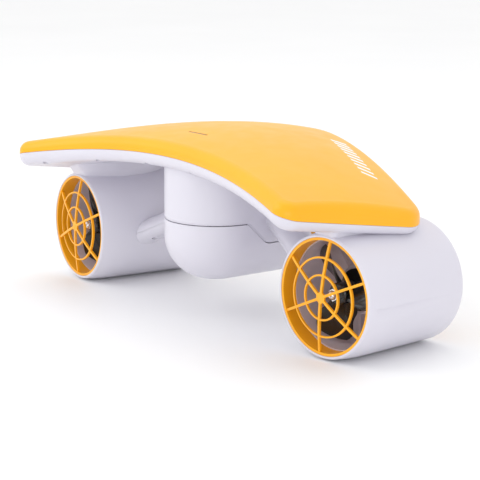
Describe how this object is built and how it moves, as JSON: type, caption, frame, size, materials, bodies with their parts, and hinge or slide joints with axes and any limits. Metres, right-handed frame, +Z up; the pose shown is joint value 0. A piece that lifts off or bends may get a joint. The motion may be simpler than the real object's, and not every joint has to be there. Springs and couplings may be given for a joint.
{
  "type": "underwater scooter",
  "caption": "Kickboard-style underwater scooter: a curved wing over a battery pod and ducted propellers, held by sprung-trigger handle bars.",
  "frame": {"origin": "on the ground under the middle of the whole scooter", "axes": "+Z up, +Y towards the nose, +X to the right-hand duct seen from behind"},
  "size_m": [0.4824, 0.2098, 0.1712],
  "materials": {
    "yellow_shell": "smooth satin-gloss moulded plastic",
    "foam": "closed-cell float foam",
    "white_shell": "satin moulded plastic",
    "steel_screw": "stainless steel",
    "light_window": "diffusing light window",
    "seal_rubber": "soft black seal",
    "battery_case": "shrink-wrapped battery block",
    "circuit_board": "coated circuit board",
    "yellow_guard": "moulded plastic",
    "grey_liner": "moulded plastic",
    "motor_case": "dark anodised",
    "windings": "enamelled copper on laminated steel",
    "black_propeller": "fibre-filled plastic",
    "chrome_nut": "polished",
    "spring_steel": "spring wire"
  },
  "bodies": {
    "hull": {"battery_pack": "battery_case", "battery_seal": "seal_rubber", "controller_board": "circuit_board", "foam_core": "foam", "left_duct_housing": "white_shell", "left_front_guard": "yellow_guard", "left_handle_lower": "white_shell", "left_handle_screws": "steel_screw", "left_handle_upper": "white_shell", "left_motor_bearings": "steel_screw", "left_motor_can": "motor_case", "left_motor_cap": "motor_case", "left_motor_mount": "grey_liner", "left_motor_stator": "windings", "left_rear_guard": "yellow_guard", "left_shaft_seal": "seal_rubber", "left_trigger_pin": "steel_screw", "left_trigger_spring": "spring_steel", "left_trigger_switch": "black_propeller", "lower_tray": "white_shell", "pod_housing": "white_shell", "right_duct_housing": "white_shell", "right_front_guard": "yellow_guard", "right_handle_lower": "white_shell", "right_handle_screws": "steel_screw", "right_handle_upper": "white_shell", "right_motor_bearings": "steel_screw", "right_motor_can": "motor_case", "right_motor_cap": "motor_case", "right_motor_mount": "grey_liner", "right_motor_stator": "windings", "right_rear_guard": "yellow_guard", "right_shaft_seal": "seal_rubber", "right_trigger_pin": "steel_screw", "right_trigger_spring": "spring_steel", "right_trigger_switch": "black_propeller", "status_light": "light_window", "top_cover": "yellow_shell", "tray_screws": "steel_screw"},
    "left_rotor": {"left_propeller": "black_propeller", "left_prop_nut": "chrome_nut", "left_motor_shaft": "steel_screw", "left_motor_rotor": "motor_case"},
    "right_rotor": {"right_propeller": "black_propeller", "right_prop_nut": "chrome_nut", "right_motor_shaft": "steel_screw", "right_motor_rotor": "motor_case"},
    "left_trigger_lever": {"left_trigger": "yellow_guard"},
    "right_trigger_lever": {"right_trigger": "yellow_guard"},
    "battery_door": {"battery_cover": "white_shell", "cover_screws": "steel_screw"}
  },
  "joints": [
    {"name": "right_propeller_spin", "type": "hinge", "parent": "hull", "child": "right_rotor", "pos_m": [0.18625, -0.02082, 0.05425], "axis": [-0.0979, 0.9952, 0], "continuous": true},
    {"name": "right_trigger_press", "type": "hinge", "parent": "hull", "child": "right_trigger_lever", "pos_m": [0.0747, 0.02061, 0.07988], "axis": [-0.3899, 0.0963, -0.9158], "range_deg": [0, 8], "stiffness_Nm_per_rad": 0.25, "springref_deg": -5.73, "deforming": ["right_trigger_spring"]},
    {"name": "left_propeller_spin", "type": "hinge", "parent": "hull", "child": "left_rotor", "pos_m": [-0.18625, -0.02082, 0.05425], "axis": [0.0979, 0.9952, 0], "continuous": true},
    {"name": "left_trigger_press", "type": "hinge", "parent": "hull", "child": "left_trigger_lever", "pos_m": [-0.0747, 0.02061, 0.07988], "axis": [-0.3899, -0.0963, 0.9158], "range_deg": [0, 8], "stiffness_Nm_per_rad": 0.25, "springref_deg": -5.73, "deforming": ["left_trigger_spring"]},
    {"name": "battery_door_drop", "type": "slide", "parent": "hull", "child": "battery_door", "axis": [0, 0, -1], "range_m": [0, 0.03]}
  ]
}
